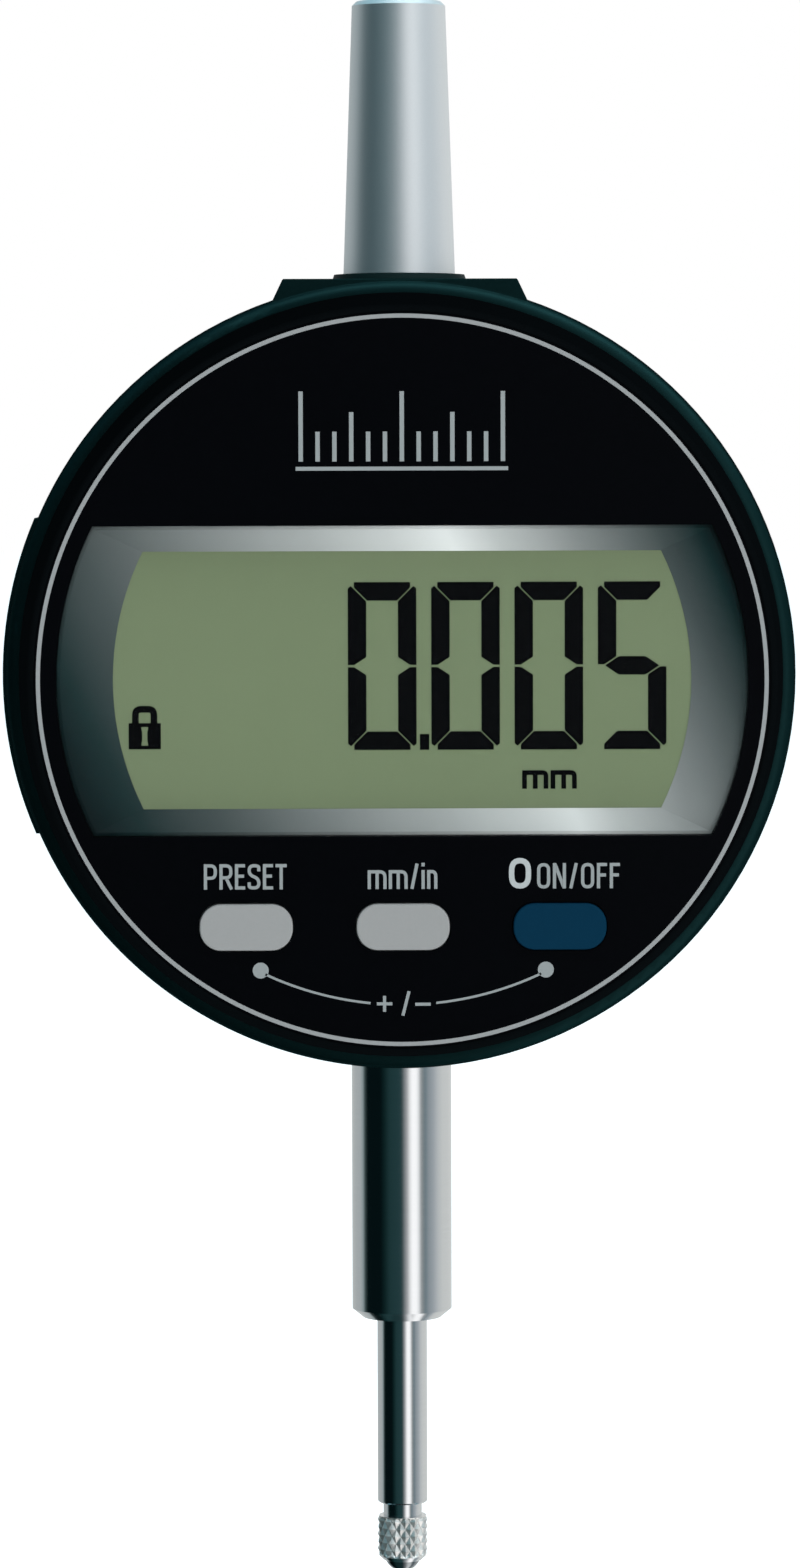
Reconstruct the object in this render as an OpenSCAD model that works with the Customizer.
// Digital dial indicator with a clamping stem, a sprung plunger and a display head that turns.
// Frame: the origin is on the plunger axis at the middle of the clamping stem. +Z runs up the plunger
// and the display faces -Y. All sizes are in millimetres.

/* [Stem and plunger] */
// Diameter of the clamping stem
stem_d = 8; // [7.8:0.1:8.2]
// Straight clamping length of the stem
stem_len = 19.8; // [18:0.1:22]
// Diameter of the plunger
plunger_d = 4; // [3.8:0.1:4.1]
// Measuring travel of the plunger
travel = 12.5; // [10:0.5:12.5]
// Plunger length that shows below the stem
plunger_show = 15.05; // [13.55:0.1:17.05]
// Diameter of the ball on the contact point
ball_d = 3; // [2.6:0.1:3]

/* [Housing] */
// Outer diameter of the housing
housing_d = 62.6; // [62.2:0.1:63.4]
// Distance from the plunger axis back to the rear face
back_depth = 9.5; // [9.5:0.1:10.5]
// Width of the flat boss on top of the housing
boss_w = 18.6; // [17:0.2:20]

/* [Display head] */
// Outer diameter of the display head at the face
head_d = 58.2; // [58:0.1:58.6]
// How far the side of the head widens towards its foot
head_flare = 1.1; // [0.6:0.1:1.2]
// Distance from the plunger axis forward to the face
face_depth = 17; // [17:0.1:18]
// Turning range of the head to each side, in degrees
head_turn = 135; // [90:5:135]

/* [Keys] */
// Width of a key
key_w = 7.2; // [6.8:0.05:7.4]
// Height of a key
key_h = 3.6; // [3.4:0.1:4]
// Distance between neighbouring keys
key_pitch = 12.15; // [12.1:0.05:12.3]
// Distance from the dial centre down to the row of keys
key_drop = 19.05; // [18.9:0.05:19.4]

/* [Cap] */
// Diameter of the cap at its foot
cap_foot_d = 8.9; // [8.2:0.1:9]
// Diameter of the cap at its tip
cap_tip_d = 7.44; // [7.4:0.02:7.8]
// Height of the cap
cap_h = 21.6; // [21:0.2:24]

/* [Battery drawer] */
// Diameter of the coin cell
cell_d = 20; // [19.8:0.1:20]
// Thickness of the coin cell
cell_t = 3.2; // [2.5:0.1:3.2]

/* [Hidden] */
$fn = 96;

run_gap = 0.03;     // radial gap of a running fit
seat_gap = 0.01;    // radial gap of a pressed or glued fit
over = 0.5;         // how far a cutting tool runs past the wall that it cuts

// Radii, and the height of the dial centre above the origin
stem_r = stem_d / 2;
plunger_r = plunger_d / 2;
plunger_bore_r = plunger_r + run_gap;
housing_r = housing_d / 2;
housing_inner_r = housing_r - 2;
head_r = head_d / 2;
stem_top = stem_len / 2;
stem_foot = -stem_top;
dial_z = stem_top + housing_r + 0.05;

// Depths along Y, front to back
face_front = -face_depth;
plate_t = 1.2;
face_back = face_front + plate_t;
head_back = -6.2;
head_wall = 1.6;
head_floor = head_back - head_wall;
housing_front = -6;
partition_t = 1.2;
partition_back = housing_front + partition_t;
rim_back = back_depth - 2;
gasket_t = 0.4;
cover_front = rim_back + gasket_t;
hub_back = -3.7;
hub_r = 7;
hub_bore_r = 5;
flex_front = head_floor - 0.2;

// The stem, its bushes and the plunger
stem_chamfer = 0.7;
stem_bore_r = 2.6;
spigot_r = 3.5;                      // the stem's shank inside the housing
spigot_top = stem_top + 5.25;
washer_t = 1.5;
carrier_foot = spigot_top + washer_t + 0.05;
carrier_h = 8.95;
carrier_top = carrier_foot + carrier_h;
contact_top = stem_foot - stem_chamfer - plunger_show;
bush_foot = dial_z + 22.9;
boss_top = dial_z + housing_r;
collar_h = 0.45;
collar_r = 5.35;
collar_top = boss_top + collar_h;
cap_spigot_r = 3;
cap_spigot_h = 4;
spindle_top = collar_top + cap_spigot_h + 0.75;
guide_x = 7;
guide_r = 1;
strip_back = 4.2;
flex_x = -4.46;
flex_t = 0.14;

// The sensor board and its posts, as [x, z] about the dial centre
board_front = 4.7;
board_t = 1;
board_low = -17.1;
board_high = 18.9;
board_half_w = 14;
board_posts = [[-11.5, -14.6], [11.5, -14.6], [-11.5, 16.4], [11.5, 16.4]];
cover_posts = [for (a = [45:90:315]) 26.45 * [cos(a), sin(a)]];
head_posts = [for (a = [45:90:315]) 23.5 * [cos(a), sin(a)]];

// The display stack
window_r = 26.8;
window_half_h = 12.02;
view_r = 22.45;
view_half_h = 10;
lens_t = 0.8;
glass_half_w = 23.5;
glass_half_h = 11.5;
surround_front = face_front + lens_t + 0.05;
surround_back = face_front + 2.05;
glass_front = surround_back + 0.05;
glass_t = 1.9;
reflector_t = 0.15;
main_board_front = face_front + 5.8;
main_board_t = 1;
key_travel = 0.5;
key_stem_r = 1.25;
dome_h = 0.3;

// The turning stop and the friction ring between head and housing
stop_r = 12;
stop_pin_r = 0.8;
groove_floor = housing_front + 0.8;
friction_r = 27.4;
friction_section_r = 0.46;

// The battery drawer on the left of the housing
hatch_r = housing_r + 0.25;
hatch_half_h = 12.5;
hatch_seat_r = housing_r - 0.4;
hatch_front = -4.9;
hatch_back = 2.5;
cell_x = -19.9;
cell_front = -3.5;
tray_front = cell_front - 0.8;
tray_back = cell_front + 2.6;
tray_r = cell_d / 2 + 0.6;

// ---------------------------------------------------------------- shared shapes

// Lays a shape that is built up along Z so that it starts at depth y0 and runs back along +Y.
module turned(y0 = 0) {
    translate([0, y0, 0]) rotate([-90, 0, 0]) children();
}

// A round rod along Y between two depths.
module rod_y(r, y0, y1) {
    turned(y0) cylinder(r = r, h = y1 - y0);
}

// A flat outline drawn in X and Z, given thickness between two depths.
module plate(y0, y1) {
    translate([0, y1, 0]) rotate([90, 0, 0]) linear_extrude(y1 - y0) children();
}

module at_dial() {
    translate([0, 0, dial_z]) children();
}

// Copies a shape to each [x, z] of a list.
module at_each(places) {
    for (p = places) translate([p[0], 0, p[1]]) children();
}

// A ring or tube along Z.
module tube(r_out, r_in, z0, z1) {
    difference() {
        translate([0, 0, z0]) cylinder(r = r_out, h = z1 - z0);
        translate([0, 0, z0 - over]) cylinder(r = r_in, h = z1 - z0 + 2 * over);
    }
}

// A rectangle with round corners, from squares and circles so that its corners stay true arcs.
module rounded_rect(w, h, r) {
    square([w - 2 * r, h], center = true);
    square([w, h - 2 * r], center = true);
    for (sx = [-1, 1], sy = [-1, 1]) translate([sx * (w / 2 - r), sy * (h / 2 - r)]) circle(r = r);
}

// A circle cut off flat above and below.
module cut_circle(r, half_h) {
    intersection() {
        circle(r = r);
        square([2 * r + 2, 2 * half_h], center = true);
    }
}

// The key outline, grown by a margin all round.
module key_outline(grow = 0) {
    rounded_rect(key_w + 2 * grow, key_h + 2 * grow, 1.65 + grow);
}

// A pan head screw along Y: its head ends at depth y_head, and its shank runs forward from there.
module pan_screw(y_head, head_r, head_h, shank_r, shank_l) {
    difference() {
        union() {
            rod_y(head_r, y_head - head_h, y_head);
            rod_y(shank_r, y_head - head_h - shank_l, y_head - head_h);
        }
        cross_recess(y_head, head_r * 1.2, head_h * 0.6);
    }
}

// The cross-shaped recess in a screw head whose top is at depth y_top.
module cross_recess(y_top, w, depth) {
    for (a = [0, 90]) rotate([0, a, 0])
        translate([-w / 2, y_top - depth, -0.18]) cube([w, depth + over, 0.36]);
}

// ---------------------------------------------------------------- housing

module housing_shell() {
    color([0.06, 0.09, 0.09]) difference() {
        union() {
            difference() {
                housing_drum();
                at_dial() rod_y(housing_inner_r, partition_back, rim_back + over);
            }
            housing_inner_bosses();
        }
        housing_cuts();
    }
}

// The round body with its softened front edge, and the flat boss on top.
module housing_drum() {
    edge_r = 1;
    at_dial() turned() rotate_extrude() union() {
        translate([0, housing_front]) square([housing_r - edge_r, rim_back - housing_front]);
        translate([0, housing_front + edge_r]) square([housing_r, rim_back - housing_front - edge_r]);
        translate([housing_r - edge_r, housing_front + edge_r]) circle(r = edge_r);
    }
    at_dial() plate(-5.6, 6.2) polygon([
        [-boss_w / 2 - 1, housing_r - 2.2], [-boss_w / 2, housing_r - 0.1], [-boss_w / 2 + 0.1, housing_r],
        [boss_w / 2 - 0.1, housing_r], [boss_w / 2, housing_r - 0.1], [boss_w / 2 + 1, housing_r - 2.2]]);
    translate([0, 0, stem_top]) cylinder(r = stem_r + 0.3, h = 2);
}

module housing_inner_bosses() {
    rail_x = -25;
    rail_l = 13;
    translate([0, 0, stem_top + 0.9]) cylinder(r = 5.2, h = spigot_top - stem_top - 1.4);
    translate([0, 0, bush_foot]) cylinder(r = 5.3, h = 8);
    translate([guide_x, 0, stem_top + 1.7]) cylinder(r = 2.2, h = 4.5);
    translate([guide_x, 0, bush_foot - 2.5]) cylinder(r = 2.2, h = 8);
    at_dial() {
        at_each(board_posts) rod_y(2.2, partition_back - 0.2, board_front);
        at_each(cover_posts) rod_y(2.4, partition_back - 0.2, cover_front - 0.05);
        for (flip = [0, 1]) mirror([0, 0, flip]) translate([rail_x, partition_back - 0.2, tray_r - 0.5]) {
            translate([0, 0, 0.65]) cube([rail_l, tray_back - partition_back + 1.3, 1.4]);
            cube([rail_l, tray_front - partition_back + 0.1, 1]);
            translate([0, tray_back - partition_back + 0.3, 0]) cube([rail_l, 1, 1]);
        }
    }
}

module housing_cuts() {
    translate([0, 0, stem_top - over]) cylinder(r = spigot_r + seat_gap, h = 7);
    translate([0, 0, bush_foot - over]) cylinder(r = stem_r, h = 12);
    translate([guide_x, 0, stem_top + 3.3]) cylinder(r = guide_r + seat_gap, h = 4);
    translate([guide_x, 0, bush_foot - 4]) cylinder(r = guide_r + seat_gap, h = 6);
    at_dial() {
        rod_y(hub_r + 0.05, housing_front - over, partition_back + over);
        rod_y_groove(friction_r - 0.6, friction_r + 0.6, 360, 0);
        stop_margin = head_turn + asin(stop_pin_r / stop_r) + 0.4;
        rod_y_groove(stop_r - 0.9, stop_r + 0.9, 2 * stop_margin, -90 - stop_margin);
        at_each(board_posts) rod_y(0.78, board_front - 3.5, board_front + over);
        at_each(cover_posts) rod_y(1, 2.5, cover_front + over);
        translate([-33, hatch_front + 0.45, -11.8]) cube([7, hatch_back - hatch_front - 0.9, 23.6]);
        plate(hatch_front - 0.1, hatch_back + 0.1) difference() {
            translate([-33, -hatch_half_h - 0.1]) square([12, 2 * hatch_half_h + 0.2]);
            circle(r = hatch_seat_r);
        }
    }
}

// A round groove in the housing's front face, as wide as from r0 to r1, over an angle from a start.
module rod_y_groove(r0, r1, sweep, start) {
    turned(housing_front - over) rotate([0, 0, start]) rotate_extrude(angle = sweep)
        translate([r0, 0]) square([r1 - r0, groove_floor - housing_front + over]);
}

module back_cover() {
    rim = housing_r - 0.4;
    label_r = 15;
    color([0.07, 0.10, 0.10]) at_dial() difference() {
        turned() rotate_extrude() polygon([[0, cover_front], [rim, cover_front], [rim, back_depth - 0.4],
            [rim - 0.4, back_depth], [label_r, back_depth], [label_r, back_depth - 0.15],
            [0, back_depth - 0.15]]);
        at_each(cover_posts) {
            rod_y(1.05, cover_front - over, back_depth + over);
            turned(back_depth - 1) cylinder(r1 = 1, r2 = 2.5, h = 1.5);
        }
    }
}

module back_cover_gasket() {
    color([0.05, 0.05, 0.05]) at_dial() plate(rim_back + 0.01, cover_front - 0.01) difference() {
        circle(r = housing_r - 0.5);
        circle(r = housing_inner_r + 0.1);
    }
}

module back_cover_screws() {
    top = back_depth - 0.05;
    color([0.55, 0.56, 0.58]) at_dial() at_each(cover_posts) difference() {
        union() {
            rod_y(0.95, 3, top - 0.9);
            turned(top - 1) cylinder(r1 = 0.93, r2 = 1.92, h = 1);
        }
        cross_recess(top, 2.2, 0.6);
    }
}

module stem() {
    color([0.75, 0.77, 0.79]) rotate_extrude() polygon([
        [stem_bore_r, stem_foot - stem_chamfer], [stem_r - 0.85, stem_foot - stem_chamfer],
        [stem_r, stem_foot], [stem_r, stem_top], [spigot_r, stem_top], [spigot_r, spigot_top],
        [stem_bore_r, spigot_top]]);
}

module stem_bushes() {
    color([0.72, 0.56, 0.28]) {
        tube(stem_bore_r - seat_gap, plunger_bore_r, stem_foot - 0.25, stem_foot + 7);
        tube(stem_bore_r - seat_gap, plunger_bore_r, spigot_top - 7, spigot_top - 0.2);
    }
}

// The plunger's top bearing, with the collar on the boss and the spigot that the cap pushes onto.
module upper_bush() {
    color([0.08, 0.09, 0.09]) difference() {
        union() {
            translate([0, 0, bush_foot]) cylinder(r = stem_r - seat_gap, h = boss_top - bush_foot);
            translate([0, 0, boss_top]) cylinder(r1 = collar_r, r2 = collar_r - 0.15, h = collar_h);
            translate([0, 0, collar_top]) cylinder(r = cap_spigot_r, h = cap_spigot_h);
        }
        translate([0, 0, bush_foot - over]) cylinder(r = plunger_bore_r, h = spindle_top);
    }
}

module stop_washer() {
    color([0.1, 0.1, 0.1]) tube(3.4, 2.2, spigot_top, spigot_top + washer_t);
}

module guide_rod() {
    foot = stem_top + 3.35;
    color([0.8, 0.8, 0.82]) translate([guide_x, 0, foot]) cylinder(r = guide_r, h = dial_z + 24.4 - foot);
}

// The ring on the guide rod that stops the carrier at the end of the travel.
module travel_stop_ring() {
    foot = carrier_foot + 6.45 + travel + 0.1;
    color([0.6, 0.6, 0.62]) translate([guide_x, 0, 0]) tube(1.8, guide_r + seat_gap, foot, foot + 0.6);
}

module sensor_board() {
    color([0.05, 0.3, 0.14]) at_dial() difference() {
        translate([-board_half_w, board_front, board_low])
            cube([2 * board_half_w, board_t, board_high - board_low]);
        at_each(board_posts) rod_y(0.9, board_front - over, board_front + board_t + over);
    }
}

// The pick-up that reads the strip, on the front of the sensor board.
module encoder_chip() {
    front = strip_back + 0.2;
    color([0.1, 0.1, 0.11]) at_dial() translate([-3, front, -3]) cube([6, board_front - front, 8]);
}

module sensor_board_parts() {
    back = board_front + board_t;
    color([0.12, 0.12, 0.13]) at_dial() {
        translate([-4, back, 2]) cube([8, 1.1, 6]);
        translate([-9.5, back, 3]) cube([3, 0.8, 4]);
        for (i = [0:4]) translate([-8 + 3.6 * i, back, -6]) cube([1.6, 0.7, 0.9]);
        for (i = [0:3]) translate([5.8 + 1.7 * i, back, 2.5]) cube([0.9, 0.7, 1.6]);
        translate([flex_x - 1.6, board_front - 0.9, -2.6]) cube([1.6, 0.9, 5.2]);
    }
}

module sensor_board_screws() {
    color([0.6, 0.61, 0.63]) at_dial() at_each(board_posts)
        pan_screw(board_front + board_t + 0.8, 1.4, 0.8, 0.75, 3.8);
}

// Leaf spring contacts: an upright from the sensor board and a finger that reaches over or under the cell.
module battery_contact(y_finger, z0, width, reach) {
    leaf_t = 0.2;
    upright_x = -9.1;
    at_dial() {
        translate([upright_x, y_finger, z0]) cube([leaf_t, board_front - y_finger, width]);
        translate([upright_x - reach, y_finger, z0]) cube([reach + leaf_t, leaf_t, width]);
    }
}

module battery_contact_plus() {
    color([0.83, 0.69, 0.35]) battery_contact(cell_front + 3.25, 3, 3, 8);
}

module battery_contact_minus() {
    color([0.83, 0.69, 0.35]) battery_contact(cell_front - 0.25, -1.8, 3.6, 8.5);
}

module head_friction_ring() {
    color([0.07, 0.07, 0.07]) at_dial() turned(housing_front + 0.3) rotate_extrude()
        translate([friction_r, 0]) circle(r = friction_section_r);
}

// The straight end of the flex: in through the hub and back to the sensor board.
module flex_tail() {
    color([0.75, 0.45, 0.12]) at_dial() translate([flex_x, flex_front, -1.7])
        cube([flex_t, board_front - flex_front, 3.4]);
}

// A compression spring round the plunger, swept along a helix with flat-ground ends.
module return_spring() {
    coils = 12;
    steps = 16;
    sides = 6;
    wire_r = 0.19;
    coil_r = 2.85;
    foot = carrier_top + wire_r + 0.02;
    rise = bush_foot - carrier_top - 2 * wire_r - 0.04;
    n = coils * steps;
    rings = [for (i = [0:n]) let (a = 360 * i / steps, z = foot + rise * i / n)
        for (k = [0:sides - 1]) let (b = 360 * k / sides, r = coil_r + wire_r * cos(b))
            [r * cos(a), r * sin(a), z + wire_r * sin(b)]];
    walls = [for (i = [0:n - 1], k = [0:sides - 1])
        let (a = i * sides, b = a + sides, next = (k + 1) % sides) [a + k, b + k, b + next, a + next]];
    ends = [[for (k = [0:sides - 1]) k], [for (k = [sides - 1:-1:0]) n * sides + k]];
    color([0.7, 0.71, 0.73]) polyhedron(points = rings, faces = concat(walls, ends));
}

// ---------------------------------------------------------------- plunger

module spindle() {
    edge = 0.12;
    thread_l = 5.5;
    color([0.82, 0.83, 0.85]) difference() {
        rotate_extrude() polygon([
            [0, contact_top], [plunger_r - edge, contact_top], [plunger_r, contact_top + edge],
            [plunger_r, spindle_top - edge], [plunger_r - edge, spindle_top], [0, spindle_top]]);
        translate([0, 0, contact_top - over]) cylinder(r = 1.25, h = thread_l + over);
    }
}

// The contact point's body: threaded shank, neck, knurled grip and the cone that holds the ball.
module contact_body() {
    shank_r = 1.22;
    neck_r = 1.55;
    neck_h = 1.06;
    grip_r = 2.02;
    grip_h = 3.29;
    cone_h = 0.35;
    cone_r = 1.53;
    grip_top = contact_top - neck_h;
    grip_foot = grip_top - grip_h;
    color([0.7, 0.71, 0.72]) difference() {
        rotate_extrude() polygon([
            [0, contact_top + 5], [shank_r, contact_top + 5], [shank_r, contact_top - 0.02],
            [neck_r, contact_top - 0.02], [neck_r, grip_top], [grip_r - 0.2, grip_top],
            [grip_r, grip_top - 0.2], [grip_r, grip_foot], [cone_r, grip_foot - cone_h],
            [0, grip_foot - cone_h]]);
        contact_ball_shape(seat_gap);
    }
}

module contact_ball_shape(grow = 0) {
    translate([0, 0, contact_top - 4.15]) sphere(r = ball_d / 2 + grow);
}

module contact_ball() {
    color([0.25, 0.27, 0.28]) contact_ball_shape();
}

// The block clamped on the plunger: it carries the strip, and its arm runs on the guide rod.
module scale_carrier() {
    front = -2.9;
    strip_front = strip_back - 0.8;
    color([0.2, 0.2, 0.22]) difference() {
        union() {
            translate([-5, front, carrier_foot]) cube([10, strip_front - front, carrier_h]);
            translate([4.5, -2, carrier_foot + 2.45]) cube([4.5, 4, 4]);
        }
        translate([0, 0, carrier_foot - over]) cylinder(r = plunger_r + seat_gap, h = carrier_h + 2 * over);
        translate([guide_x, 0, carrier_foot]) cylinder(r = guide_r + 0.04, h = carrier_h);
        translate([0, 0, carrier_foot + 4.5]) rod_y(1, front - over, -1.5);
    }
}

module carrier_screw() {
    color([0.15, 0.15, 0.16]) translate([0, 0, carrier_foot + 4.5]) difference() {
        rod_y(0.98, -2.85, -plunger_r - 0.05);
        turned(-2.85 - over) cylinder(r = 0.5, h = 1, $fn = 6);
    }
}

module scale_strip() {
    color([0.75, 0.85, 0.8]) translate([-3.2, strip_back - 0.79, carrier_foot + 0.4]) cube([6.4, 0.79, 33]);
}

// ---------------------------------------------------------------- display head

module bezel_shell() {
    edge_r = 0.45;
    foot_r = head_r + head_flare;
    wall_r = head_r - 1.2;
    lip_r = head_r - 0.6;
    groove_r = hub_r - 0.6;
    rounded_edge = [for (a = [90:-15:0])
        [head_r - edge_r + edge_r * cos(a), face_front + edge_r - edge_r * sin(a)]];
    color([0.04, 0.04, 0.045]) at_dial() difference() {
        union() {
            turned() rotate_extrude() polygon(concat(
                [[hub_bore_r, head_floor], [wall_r, head_floor], [wall_r, face_back], [lip_r, face_back],
                 [lip_r, face_front + 0.05]],
                rounded_edge,
                [[foot_r, head_back - 0.3], [foot_r - 0.3, head_back], [hub_r, head_back],
                 [hub_r, hub_back - 1], [groove_r, hub_back - 1], [groove_r, hub_back - 0.4],
                 [hub_r, hub_back - 0.4], [hub_r, hub_back], [hub_bore_r, hub_back]]));
            at_each(head_posts) rod_y(1.8, main_board_front + main_board_t, head_floor + 0.2);
        }
        at_each(head_posts) rod_y(0.72, main_board_front + main_board_t - over, head_floor);
        translate([0, 0, stop_r]) rod_y(stop_pin_r, head_back - 1, head_back + over);
    }
}

module face_plate() {
    color([0.01, 0.01, 0.012]) at_dial() plate(face_front, face_back - 0.01) difference() {
        circle(r = head_r - 0.62);
        cut_circle(window_r, window_half_h);
        for (i = [-1:1]) translate([i * key_pitch, -key_drop]) key_outline(0.1);
    }
}

module window_lens() {
    color([0.85, 0.9, 0.9, 0.3]) at_dial() plate(face_front + 0.02, face_front + lens_t)
        cut_circle(window_r - 0.02, window_half_h - 0.02);
}

// The silver frame round the display: a flange behind the face, and slopes that run down to the glass.
module lcd_surround() {
    step = face_back + 0.02;
    slope_out = 0.3;
    depth = surround_back - surround_front;
    color([0.6, 0.62, 0.63]) at_dial() difference() {
        union() {
            plate(surround_front, step) cut_circle(window_r - 0.05, window_half_h - 0.05);
            plate(step, surround_back) cut_circle(window_r + 0.9, window_half_h + 0.9);
        }
        intersection() {
            turned(surround_front) translate([0, 0, -0.001])
                cylinder(r1 = window_r - slope_out, r2 = view_r, h = depth + 0.002);
            translate([-window_r, 0, 0]) rotate([90, 0, 90]) linear_extrude(2 * window_r) polygon([
                [surround_front - 0.001, window_half_h - slope_out], [surround_back + 0.001, view_half_h],
                [surround_back + 0.001, -view_half_h], [surround_front - 0.001, slope_out - window_half_h]]);
        }
    }
}

module lcd_glass() {
    color([0.6, 0.68, 0.5, 0.5]) at_dial() translate([-glass_half_w, glass_front, -glass_half_h])
        cube([2 * glass_half_w, glass_t, 2 * glass_half_h]);
}

module lcd_reflector() {
    front = glass_front + glass_t + 0.01;
    color([0.46, 0.52, 0.4]) at_dial() translate([0.5 - glass_half_w, front, 2.2 - glass_half_h])
        cube([2 * glass_half_w - 1, reflector_t, 2 * glass_half_h - 4.4]);
}

// Conductive rubber strips between the glass and the main board.
module elastomer_strips() {
    z0 = glass_half_h - 1.9;
    front = glass_front + glass_t;
    color([0.2, 0.2, 0.22]) at_dial() for (z = [z0, -z0 - 1.6])
        translate([-21, front + 0.01, z]) cube([42, main_board_front - front - 0.02, 1.6]);
}

module main_board() {
    back = main_board_front + main_board_t - 0.01;
    color([0.05, 0.3, 0.14]) at_dial() plate(main_board_front, back) difference() {
        circle(r = head_r - 1.8);
        for (p = head_posts) translate(p) circle(r = 0.85);
    }
}

module main_board_parts() {
    back = main_board_front + main_board_t;
    color([0.1, 0.1, 0.11]) at_dial() {
        translate([-21.5, back, -4]) cube([9, 1, 9]);
        translate([13, back, -3]) cube([3, 1.2, 7]);
        translate([-3.5, back, 13.5]) cube([7, 1.1, 4]);
        for (i = [0:6]) translate([-10 + 3.2 * i, back, -18]) cube([1.8, 0.8, 1]);
        for (i = [0:4]) translate([-6 + 2.6 * i, back, 19]) cube([1, 0.8, 1.8]);
    }
}

// The screws that hold the main board to the posts of the head.
module main_board_screws() {
    color([0.6, 0.61, 0.63]) at_dial() at_each(head_posts) mirror([0, 1, 0])
        pan_screw(-main_board_front + 0.8, 1.4, 0.8, 0.7, 3);
}

// Snap domes under the keys, as shallow cones.
module key_domes() {
    color([0.8, 0.8, 0.82]) at_dial() for (i = [-1:1]) translate([i * key_pitch, 0, -key_drop])
        turned(main_board_front - dome_h) cylinder(r1 = 1.4, r2 = 2.4, h = dome_h);
}

// Guides the key stems, with two ribs that space it from the face.
module key_guide_plate() {
    front = face_front + 2.1;
    color([0.12, 0.12, 0.13]) at_dial() difference() {
        union() {
            plate(front, front + 1) intersection() {
                circle(r = head_r - 1.5);
                translate([-20, -key_drop - 4.3]) square([40, 9.3]);
            }
            for (s = [-1, 1]) translate([s * key_pitch / 2 - 0.6, face_back + 0.01, -key_drop - 2.7])
                cube([1.2, front - face_back, 5.4]);
        }
        for (i = [-1:1]) translate([i * key_pitch, 0, -key_drop])
            rod_y(key_stem_r + run_gap, front - over, front + 1 + over);
    }
}

// The coiled part of the flex, which lets the head turn.
module flex_spiral() {
    turns = 2.25;
    steps = 72;
    r0 = 4.4;
    r1 = 11;
    spiral = [for (i = [0:steps]) [r0 + (r1 - r0) * i / steps, 180 + 360 * turns * i / steps]];
    inner = [for (p = spiral) p[0] * [cos(p[1]), sin(p[1])]];
    outer = [for (i = [steps:-1:0]) (spiral[i][0] + flex_t) * [cos(spiral[i][1]), sin(spiral[i][1])]];
    color([0.75, 0.45, 0.12]) at_dial() plate(flex_front - 1.9, flex_front - 0.02)
        polygon(concat(inner, outer));
}

// An open ring in the hub's groove: it holds the head to the housing.
module head_retaining_ring() {
    gap = 60;
    color([0.55, 0.55, 0.57]) at_dial() turned(hub_back - 0.98) rotate([0, 0, 90 + gap / 2])
        rotate_extrude(angle = 360 - gap) translate([hub_r - 0.58, 0]) square([1.78, 0.56]);
}

module head_stop_pin() {
    color([0.75, 0.76, 0.78]) at_dial() translate([0, 0, stop_r])
        rod_y(stop_pin_r - seat_gap, head_back - 0.98, groove_floor - 0.1);
}

// ---------------------------------------------------------------- keys

module key(i, tint) {
    proud = 0.35;
    flange_front = face_back + 0.05;
    color(tint) at_dial() translate([i * key_pitch, 0, -key_drop]) {
        plate(face_front - proud, flange_front + 0.1) key_outline();
        plate(flange_front, flange_front + 0.3) rounded_rect(key_w + 1, key_h + 1, 1.8);
        rod_y(key_stem_r, flange_front + 0.2, main_board_front - dome_h - key_travel - 0.05);
    }
}

// ---------------------------------------------------------------- battery drawer

module tray_outline(r) {
    translate([cell_x, 0]) circle(r = r);
    translate([-28.8, -r]) square([28.8 + cell_x, 2 * r]);
}

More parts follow.
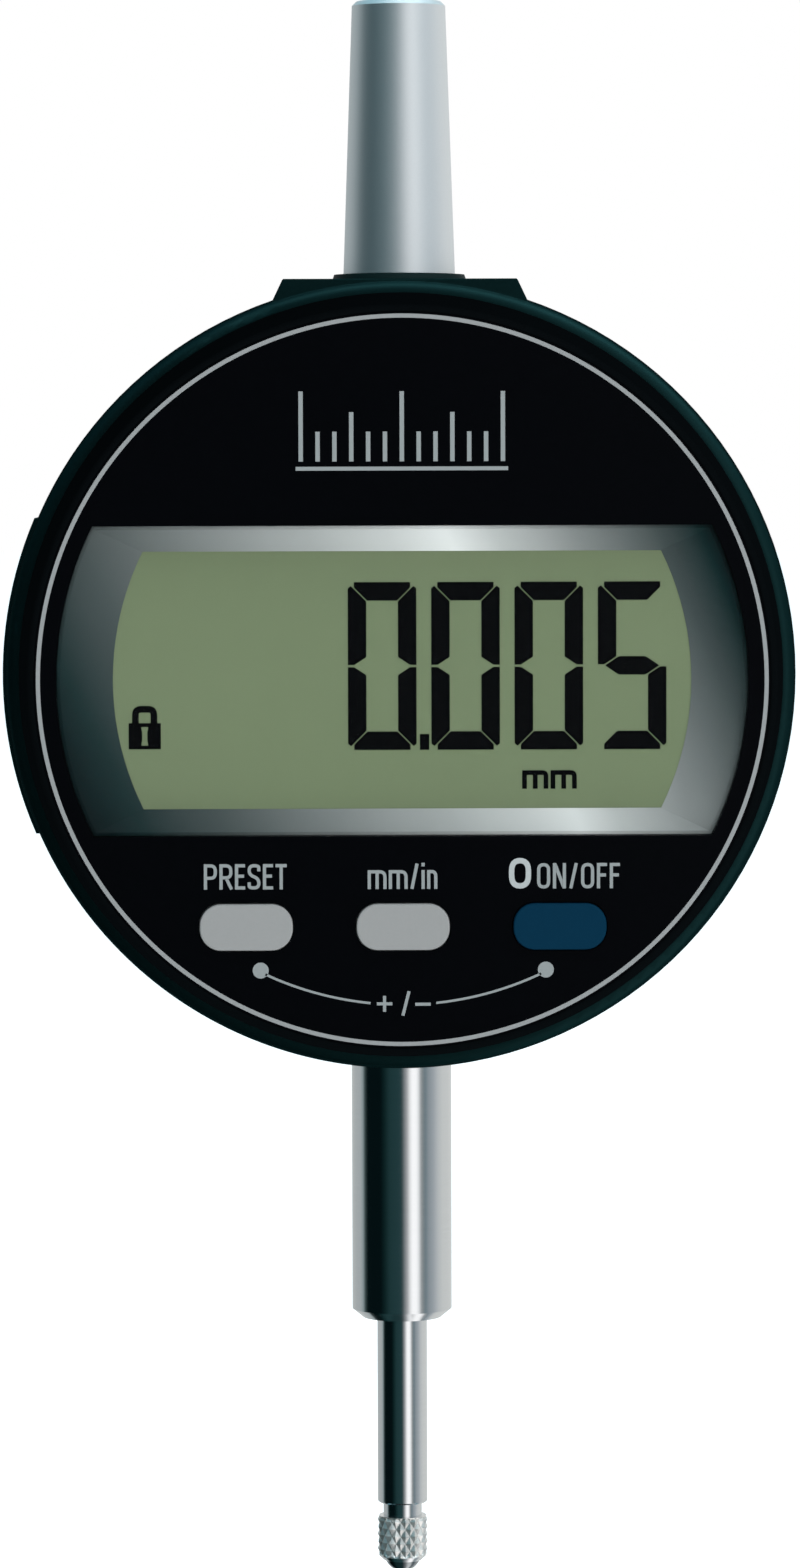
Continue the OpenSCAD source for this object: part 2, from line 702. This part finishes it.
// The tray and the hatch that closes the slot, in one moulding that slides out to the left.
module battery_tray() {
    color([0.06, 0.08, 0.08]) at_dial() {
        difference() {
            union() {
                plate(tray_front, tray_back) tray_outline(tray_r);
                plate(hatch_front + 0.55, hatch_back - 0.55) intersection() {
                    difference() {
                        circle(r = hatch_seat_r + 0.3);
                        circle(r = housing_inner_r - 1);
                    }
                    translate([-33, -11.7]) square([12, 23.4]);
                }
            }
            translate([cell_x, 0, 0]) rod_y(cell_d / 2 + 0.08, cell_front, cell_front + cell_t + 0.2);
            translate([cell_x - 1, tray_front - over, -2.3]) cube([15, 5, 4.6]);
        }
        plate(hatch_front, hatch_back) intersection() {
            difference() {
                circle(r = hatch_r);
                circle(r = hatch_seat_r + 0.05);
            }
            translate([-33, -hatch_half_h]) square([12, 2 * hatch_half_h]);
        }
    }
}

module coin_cell() {
    step = 0.35;
    r = cell_d / 2;
    color([0.78, 0.79, 0.8]) at_dial() translate([cell_x, 0, 0]) turned(cell_front + 0.01)
        rotate_extrude() polygon([
            [0, 0], [r - 1.2, 0], [r - 1, step], [r - 0.15, step], [r, step + 0.15],
            [r, cell_t - 0.16], [r - 0.15, cell_t - 0.01], [0, cell_t - 0.01]]);
}

// ---------------------------------------------------------------- cap

module stem_cap() {
    foot = collar_top + 0.05;
    edge = 0.35;
    roof = 1.5;
    bore_r = cap_spigot_r + 0.04;
    color([0.72, 0.76, 0.78]) difference() {
        union() {
            translate([0, 0, foot]) cylinder(r1 = cap_foot_d / 2, r2 = cap_tip_d / 2, h = cap_h - edge);
            translate([0, 0, foot + cap_h - edge])
                cylinder(r1 = cap_tip_d / 2, r2 = cap_tip_d / 2 - edge, h = edge);
        }
        translate([0, 0, foot - over]) cylinder(r = bore_r, h = cap_h - roof + over);
    }
}

// ---------------------------------------------------------------- one node at a time

housing_shell();
back_cover();
back_cover_gasket();
back_cover_screws();
stem();
stem_bushes();
upper_bush();
stop_washer();
guide_rod();
travel_stop_ring();
sensor_board();
encoder_chip();
sensor_board_parts();
sensor_board_screws();
battery_contact_plus();
battery_contact_minus();
head_friction_ring();
flex_tail();
return_spring();
spindle();
contact_body();
contact_ball();
scale_carrier();
carrier_screw();
scale_strip();
bezel_shell();
face_plate();
window_lens();
lcd_surround();
lcd_glass();
lcd_reflector();
elastomer_strips();
main_board();
main_board_parts();
main_board_screws();
key_domes();
key_guide_plate();
flex_spiral();
head_retaining_ring();
head_stop_pin();
key(-1, [0.66, 0.68, 0.68]);  // preset_key
key(0, [0.66, 0.68, 0.68]);  // unit_key
key(1, [0.02, 0.17, 0.3]);  // power_key
battery_tray();
coin_cell();
stem_cap();
